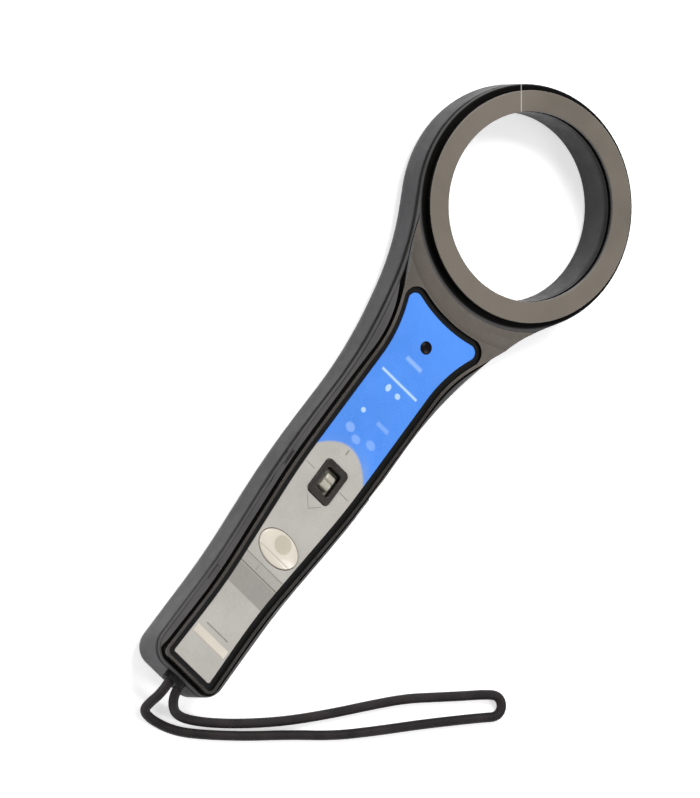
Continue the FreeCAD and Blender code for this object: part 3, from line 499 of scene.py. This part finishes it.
def metal(name, colour, rough):
    """Drawn or rolled metal with fine scratches along the handle and duller clouds."""
    material, tree, shader, place = start_material(name)
    stretch = node(tree, "ShaderNodeMapping")
    stretch.inputs["Scale"].default_value = SCRATCH_STRETCH
    tree.links.new(place, stretch.inputs["Vector"])
    scratch = noise(tree, stretch.outputs["Vector"], SCRATCH_SCALE, 4.0)
    cloud = noise(tree, place, 60.0)
    dull = tuple(channel * 0.75 for channel in colour)
    tint = mix_colour(tree, ramp(tree, cloud, 0.35, 0.7), colour, dull)
    gloss = ramp(tree, scratch, 0.2, 0.8, rough - 0.08, rough + 0.12)
    tree.links.new(tint, shader.inputs["Base Color"])
    tree.links.new(gloss, shader.inputs["Roughness"])
    shader.inputs["Metallic"].default_value = 1.0
    bump(tree, shader, [(scratch, 0.00001)])
    return material


def floor_material():
    material, tree, shader, place = start_material("floor_paper")
    fibre = noise(tree, place, 300.0, 3.0)
    tint = mix_colour(tree, fibre, (0.86, 0.86, 0.86), (0.9, 0.9, 0.9))
    tree.links.new(tint, shader.inputs["Base Color"])
    shader.inputs["Roughness"].default_value = 0.85
    shader.inputs["Emission Color"].default_value = (1.0, 1.0, 1.0, 1.0)
    shader.inputs["Emission Strength"].default_value = 0.5
    return material


# ---------------------------------------------------------------- mesh helpers

def mesh_piece(name, points, faces, smooth=False):
    mesh = bpy.data.meshes.new(name)
    mesh.from_pydata([tuple(point) for point in points], [], faces)
    mesh.validate()
    mesh.update()
    if smooth:
        mesh.polygons.foreach_set("use_smooth", [True] * len(mesh.polygons))
    piece = bpy.data.objects.new(name, mesh)
    bpy.context.scene.collection.objects.link(piece)
    return piece


def assign(piece, material):
    piece.data.materials.clear()
    piece.data.materials.append(material)
    return piece


# ---------------------------------------------------------------- the wrist cord

CORD_DIAMETER = 4.0 * MM
CORD_STEP = 0.35 * MM
SPLINE_ORDER = 3
SPLINE_RESOLUTION = 24
STRANDS = 8
LAY_LENGTH = 9.0 * MM
STRAND_RELIEF = 0.16 * MM
CORD_SIDES = 48
# The route's control points: x, drop below the ring's centre, and height, in millimetres.
CORD_ROUTE = [
    (-2.1, 242.3, 17.0), (-1.2, 250.0, 16.6), (0.4, 255.0, 12.6), (1.3, 258.6, 7.4), (3.0, 261.3, 3.4),
    (9.6, 261.0, 2.05), (20.3, 257.5, 2.05), (31.4, 249.9, 2.05), (46.3, 238.1, 2.05),
    (61.2, 224.8, 2.05), (77.4, 211.7, 2.05), (91.5, 197.2, 2.05), (104.9, 182.7, 2.05),
    (117.3, 170.0, 2.05), (125.4, 161.9, 2.05), (130.2, 157.4, 2.05), (129.4, 152.6, 2.05),
    (124.9, 150.6, 2.05), (119.8, 154.5, 2.05), (112.4, 161.5, 2.05), (103.1, 170.0, 2.05),
    (92.8, 179.4, 2.05), (82.3, 191.6, 2.05), (70.2, 206.3, 2.05), (56.9, 221.2, 2.05),
    (43.4, 234.0, 2.05), (31.1, 244.1, 2.05), (21.4, 250.5, 2.4), (14.9, 253.1, 4.6), (9.7, 253.0, 8.8),
    (5.6, 251.3, 13.2), (3.2, 247.9, 16.7), (2.1, 242.3, 17.0)]


def route_points():
    """Points read from the route's smooth NURBS spline."""
    curve = bpy.data.curves.new("cord_route", "CURVE")
    curve.dimensions = "3D"
    spline = curve.splines.new("NURBS")
    spline.points.add(len(CORD_ROUTE) - 1)
    for point, (x, drop, z) in zip(spline.points, CORD_ROUTE):
        point.co = (RING.x + x * MM, RING.y - drop * MM, z * MM, 1.0)
    spline.order_u = SPLINE_ORDER
    spline.use_endpoint_u = True
    spline.resolution_u = SPLINE_RESOLUTION
    guide = bpy.data.objects.new("cord_route", curve)
    line = bpy.data.meshes.new_from_object(guide)
    points = [vertex.co.copy() for vertex in line.vertices]
    bpy.data.objects.remove(guide)
    bpy.data.meshes.remove(line)
    bpy.data.curves.remove(curve)
    return points


def resample(points, step):
    """The same line with evenly spaced points, and its length."""
    line = np.array([tuple(point) for point in points])
    along = np.concatenate([[0.0], np.cumsum(np.linalg.norm(np.diff(line, axis=0), axis=1))])
    count = int(along[-1] / step) + 1
    places = np.linspace(0.0, along[-1], count)
    columns = [np.interp(places, along, line[:, axis]) for axis in range(3)]
    return np.stack(columns, axis=1), along[-1]


def braided_tube(name, line, radius):
    """A round braid: two families of strands cross on the surface and lift each other in turn.

    Each ring of points keeps its side direction from the ring before, so the tube doesn't twist.
    """
    steps = len(line)
    tangents = np.gradient(line, axis=0)
    tangents /= np.linalg.norm(tangents, axis=1)[:, None]
    side = np.cross(tangents[0], (0, 0, 1.0))
    side /= np.linalg.norm(side)
    length = 0.0
    rings = []
    angles = np.linspace(0, 2 * math.pi, CORD_SIDES, endpoint=False)
    for index in range(steps):
        if index:
            length += np.linalg.norm(line[index] - line[index - 1])
            side = side - tangents[index] * np.dot(side, tangents[index])
            side /= np.linalg.norm(side)
        lift = np.cross(tangents[index], side)
        phase = 2 * math.pi * length / LAY_LENGTH
        right_lay = np.cos(STRANDS * (angles + phase) / 2)
        left_lay = np.cos(STRANDS * (angles - phase) / 2)
        height = STRAND_RELIEF * (np.maximum(np.abs(right_lay), np.abs(left_lay)) ** 2 - 1.0)
        spread = radius + height
        sideways = np.outer(np.cos(angles) * spread, side)
        upwards = np.outer(np.sin(angles) * spread, lift)
        rings.append(line[index] + sideways + upwards)
    points = [tuple(point) for ring in rings for point in ring]
    faces = []
    for ring in range(steps - 1):
        first = ring * CORD_SIDES
        for turn in range(CORD_SIDES):
            following = (turn + 1) % CORD_SIDES
            faces.append((first + turn, first + following,
                          first + CORD_SIDES + following, first + CORD_SIDES + turn))
    faces.append(tuple(reversed(range(CORD_SIDES))))
    faces.append(tuple((steps - 1) * CORD_SIDES + turn for turn in range(CORD_SIDES)))
    return mesh_piece(name, points, faces, smooth=True)


def cord_material():
    material, tree, shader, place = start_material("braided_cord")
    fibre = noise(tree, place, 2600.0, 3.0)
    cloud = noise(tree, place, 90.0, 3.0)
    tint = mix_colour(tree, ramp(tree, cloud, 0.3, 0.7), (0.007, 0.005, 0.0055),
                      (0.019, 0.0145, 0.015))
    tint = mix_colour(tree, ramp(tree, fibre, 0.55, 0.8, 0.0, 0.5), tint, (0.05, 0.042, 0.042))
    tree.links.new(tint, shader.inputs["Base Color"])
    tree.links.new(ramp(tree, fibre, 0.3, 0.7, 0.5, 0.72), shader.inputs["Roughness"])
    shader.inputs["Specular IOR Level"].default_value = 0.2
    shader.inputs["Sheen Weight"].default_value = 0.05
    shader.inputs["Sheen Roughness"].default_value = 0.4
    bump(tree, shader, [(fibre, 0.00004)])
    return material


def add_cord():
    line, length = resample(route_points(), CORD_STEP)
    piece = braided_tube("wrist_loop", line, CORD_DIAMETER / 2)
    assign(piece, cord_material())
    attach(piece, "scanner")
    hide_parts("wrist_cord")


# ---------------------------------------------------------------- detailed pieces

OVAL_SIDES = 96
SHARP_ANGLE = 38.0


def flat(x, y):
    """No relief."""
    return 0.0


def oval_form(name, centre, rings, relief=flat):
    """A closed form from stacked ovals, from the top's middle down: half sizes and height."""
    points = [(centre.x, centre.y, rings[0][2] + relief(0.0, 0.0))]
    for half_x, half_y, z in rings:
        for step in range(OVAL_SIDES):
            angle = 2 * math.pi * step / OVAL_SIDES
            x = half_x * math.cos(angle)
            y = half_y * math.sin(angle)
            points.append((centre.x + x, centre.y + y, z + relief(x, y)))
    faces = [(0, 1 + step, 1 + (step + 1) % OVAL_SIDES) for step in range(OVAL_SIDES)]
    for ring in range(len(rings) - 1):
        for step in range(OVAL_SIDES):
            first = 1 + ring * OVAL_SIDES + step
            second = 1 + ring * OVAL_SIDES + (step + 1) % OVAL_SIDES
            faces.append((first, first + OVAL_SIDES, second + OVAL_SIDES, second))
    last = 1 + (len(rings) - 1) * OVAL_SIDES
    faces.append(tuple(last + step for step in reversed(range(OVAL_SIDES))))
    piece = mesh_piece(name, points, faces, smooth=True)
    sharpen(piece)
    return piece


def sharpen(piece):
    """Smooth shading that stops at the sharp edges."""
    piece.data.set_sharp_from_angle(angle=math.radians(SHARP_ANGLE))


def add_button():
    """The ivory power button: a crowned oval with a thumb dish, a scribed line, and its flange."""
    low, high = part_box("push_button")
    centre = (low + high) / 2
    flange_width = 1.3 * MM
    half_x = (high.x - low.x) / 2 - flange_width
    half_y = (high.y - low.y) / 2 - flange_width
    flange_top = low.z + 1.0 * MM
    crown = 0.75 * MM
    edge = 0.6 * MM
    dome_steps = 30
    edge_steps = 8
    rings = []
    for step in range(1, dome_steps + 1):
        part = step / dome_steps
        rings.append(((half_x - edge) * part, (half_y - edge) * part, high.z - crown * part ** 2.6))
    for step in range(1, edge_steps + 1):
        turn = math.pi / 2 * step / edge_steps
        out = edge * math.sin(turn) - edge
        rings.append((half_x + out, half_y + out,
                      high.z - crown - edge * (1 - math.cos(turn))))
    rings.append((half_x, half_y, flange_top))
    rings.append((high.x - centre.x, high.y - centre.y, flange_top))
    rings.append((high.x - centre.x, high.y - centre.y, low.z))

    dish_depth = 0.55 * MM
    scribe_depth = 0.12 * MM

    def relief(x, y):
        spread = (x / (4.4 * MM)) ** 2 + ((y - DISH_RISE * MM) / (3.9 * MM)) ** 2
        dish = dish_depth * math.exp(-spread ** 2)
        scribe = scribe_depth * math.exp(-((y + SCRIBE_FALL * MM) / (0.28 * MM)) ** 2)
        inside = max(0.0, 1 - (x / half_x) ** 2 - (y / half_y) ** 2)
        return -(dish + scribe) * min(1.0, inside * 4)

    piece = oval_form("power_button", centre, rings, relief)
    assign(piece, moulded("button_ivory", (0.6, 0.553, 0.468), 0.2, grain=0.004 * MM, coat=0.4,
                          drift=0.04, wear_and_highlight=0.0, decorate=button_tints))
    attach(piece, "push_button")
    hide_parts("push_button")


def add_lens():
    """The indicator's tinted lens: a low dome inside a narrow sunk lip."""
    low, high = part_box("indicator_lens")
    centre = (low + high) / 2
    radius = (high.x - low.x) / 2
    lip = 0.35 * MM
    sunk = 0.15 * MM
    rise = 0.35 * MM
    steps = 12
    rings = []
    for step in range(1, steps + 1):
        part = step / steps
        dome = (radius - lip) * part
        rings.append((dome, dome, high.z - sunk - rise * part ** 2))
    rings.append((radius - lip * 0.5, radius - lip * 0.5, high.z - 0.45 * MM))
    rings.append((radius, radius, high.z - 0.1 * MM))
    rings.append((radius, radius, low.z))
    piece = oval_form("lens_dome", centre, rings)
    assign(piece, moulded("lens_smoke", (0.003, 0.002, 0.004), 0.3, grain=0.002 * MM, wear_and_highlight=0.0,
                          specular=0.12))
    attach(piece, "scanner")
    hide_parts("indicator_lens")


def relief_block(name, low, high, height, across, along):
    """A closed block whose top is a height field; the sides go straight down."""
    columns = np.linspace(low.x, high.x, across)
    rows = np.linspace(low.y, high.y, along)
    points = [(x, y, height(x, y)) for y in rows for x in columns]
    faces = []
    for row in range(along - 1):
        for column in range(across - 1):
            first = row * across + column
            faces.append((first, first + 1, first + across + 1, first + across))
    border = list(range(across))
    border += [row * across + across - 1 for row in range(1, along)]
    border += [(along - 1) * across + column for column in range(across - 2, -1, -1)]
    border += [row * across for row in range(along - 2, 0, -1)]
    base = len(points)
    points += [(points[index][0], points[index][1], low.z) for index in border]
    count = len(border)
    for step in range(count):
        following = (step + 1) % count
        faces.append((border[step], base + step, base + following, border[following]))
    faces.append(tuple(base + step for step in reversed(range(count))))
    piece = mesh_piece(name, points, faces, smooth=True)
    sharpen(piece)
    return piece


def add_knob():
    """The slide knob: a guide shoe under two tilted finger facets with a notch between them."""
    low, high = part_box("slide_knob")
    middle = (low + high) / 2
    half_x = 2.2 * MM
    half_y = 3.1 * MM
    shoe_top = low.z + 1.3 * MM
    overlap = 0.1 * MM
    notch_depth = 0.8 * MM
    facet_fall = 0.55 * MM
    edge_fall = 0.35 * MM

    def facets(x, y):
        along = (y - middle.y) / half_y
        aside = (x - middle.x) / half_x
        notch = notch_depth * math.exp(-(along / 0.13) ** 2)
        slope = facet_fall * abs(along) ** 1.5
        rounding = edge_fall * (abs(aside) ** 6 + abs(along) ** 10)
        return high.z - notch - slope - rounding

    knob_low = Vector((middle.x - half_x, middle.y - half_y, shoe_top - overlap))
    knob_high = Vector((middle.x + half_x, middle.y + half_y, high.z))
    knob = relief_block("slide_knob_top", knob_low, knob_high, facets, 28, 36)
    shoe = relief_block("slide_knob_shoe", low, high, lambda x, y: shoe_top, 12, 16)
    stone = moulded("knob_stone", (0.36, 0.34, 0.28), 0.35, wear_and_highlight=0.15)
    for piece in (knob, shoe):
        assign(piece, stone)
        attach(piece, "slide_knob")
    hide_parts("slide_knob")


def add_label_bar():
    """The raised cream bar across the foot of the panel."""
    bar_drop = 227.3 * MM
    middle_y = RING.y - bar_drop
    half_x, half_y, rise = 9.1 * MM, 1.9 * MM, 0.22 * MM
    overlap = 0.1 * MM

    def crowned(x, y):
        edge = max(abs((x - RING.x) / half_x) ** 14, abs((y - middle_y) / half_y) ** 6)
        return PANEL_Z + rise * (1 - 0.85 * edge)

    low = Vector((RING.x - half_x, middle_y - half_y, PANEL_Z - overlap))
    high = Vector((RING.x + half_x, middle_y + half_y, PANEL_Z + rise))
    bar = relief_block("label_bar", low, high, crowned, 48, 20)
    assign(bar, moulded("bar_cream", (0.55, 0.505, 0.43), 0.28, grain=0.005 * MM, wear_and_highlight=0.0,
                        drift=0.05))
    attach(bar, "scanner")


# ---------------------------------------------------------------- materials of the carried-over parts

def paint_nodes():
    """A material for each node of the frame that keeps its own mesh."""
    fine = {"grain": 0.012 * MM, "grain_size": 2600.0}
    # The rear shell gets painted shade along its parting line, and in the ring's bore.
    back = moulded("casing_back", (0.037, 0.0355, 0.0375), 0.44, black_and_shade=parting_line_shade,
                   specular=0.13, decorate=pale_grip_and_bore_shade)
    front = moulded("casing_front", (0.068, 0.0655, 0.0655), 0.38, grain=0.02 * MM,
                    black_and_shade=front_shell_black_and_shade, specular=0.06, decorate=ring_seam)
    brown = moulded("cover_brown", (0.129, 0.112, 0.092), 0.4, wear_and_highlight=0.3, black_and_shade=cover_black,
                    gloss_drop=0.1, specular=0.25, decorate=ring_seam, **fine)
    bezel = moulded("bezel_brown", (0.088, 0.076, 0.065), 0.3, wear_and_highlight=0.6, black_and_shade=bezel_black,
                    gloss_drop=0.1, specular=0.35, decorate=rim_darker_and_shaded, **fine)
    black = moulded("black_rubber", (0.003, 0.003, 0.003), 0.45, wear_and_highlight=0.0, specular=0.15)
    # The switch frame's edges get a strong painted highlight.
    switch = moulded("switch_dark", (0.016, 0.0135, 0.0095), 0.34, grain=0.02 * MM, specular=0.4,
                     wear_and_highlight=0.6)
    overlay = moulded("overlay_print", (0.063, 0.222, 0.69), 0.3, grain=0.005 * MM, wear_and_highlight=0.0,
                      drift=0.06, specular=0.35, decorate=printed_panel)
    looks = {
        back: ["rear_shell", "battery_door"],
        front: ["front_shell"],
        brown: ["ring_cover"],
        bezel: ["face_bezel"],
        black: ["panel_gasket", "cord_sleeve", "battery_pad"],
        switch: ["switch_frame", "slide_actuator", "tact_switch_body", "tact_plunger",
                 "battery_snap"],
        overlay: ["panel_overlay"],
        moulded("led_red", (0.5, 0.03, 0.03), 0.15): ["indicator_led"],
        moulded("board_green", (0.02, 0.14, 0.05), 0.3): ["main_board"],
        moulded("epoxy_black", (0.02, 0.02, 0.02), 0.5): ["controller_chip", "reader_chip", "buzzer"],
        moulded("ceramic_tan", (0.4, 0.3, 0.2), 0.5): ["tuning_capacitors"],
        moulded("nylon_white", (0.75, 0.73, 0.68), 0.4): ["antenna_connector",
                                                          "battery_connector"],
        moulded("bobbin_black", (0.04, 0.04, 0.04), 0.45): ["coil_former"],
        moulded("wire_red", (0.3, 0.02, 0.02), 0.4): ["antenna_leads", "battery_leads"],
        metal("battery_can", (0.35, 0.36, 0.38), 0.35): ["battery"],
        metal("tinned_steel", (0.6, 0.6, 0.62), 0.3): ["slide_switch_body", "quartz_crystal",
                                                       "filter_capacitor", "battery_terminals"],
        metal("copper", (0.72, 0.35, 0.18), 0.3): ["antenna_coil"],
        metal("zinc_steel", (0.55, 0.55, 0.56), 0.32): ["case_screws", "board_screws",
                                                       "door_hinge_pin", "lanyard_pin"],
    }
    for material, names in looks.items():
        for name in names:
            assign(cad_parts[name], material)


# ---------------------------------------------------------------- making

centre = add_camera()
add_cord()
add_studio(centre)
paint_nodes()
add_button()
add_knob()
add_lens()
add_label_bar()
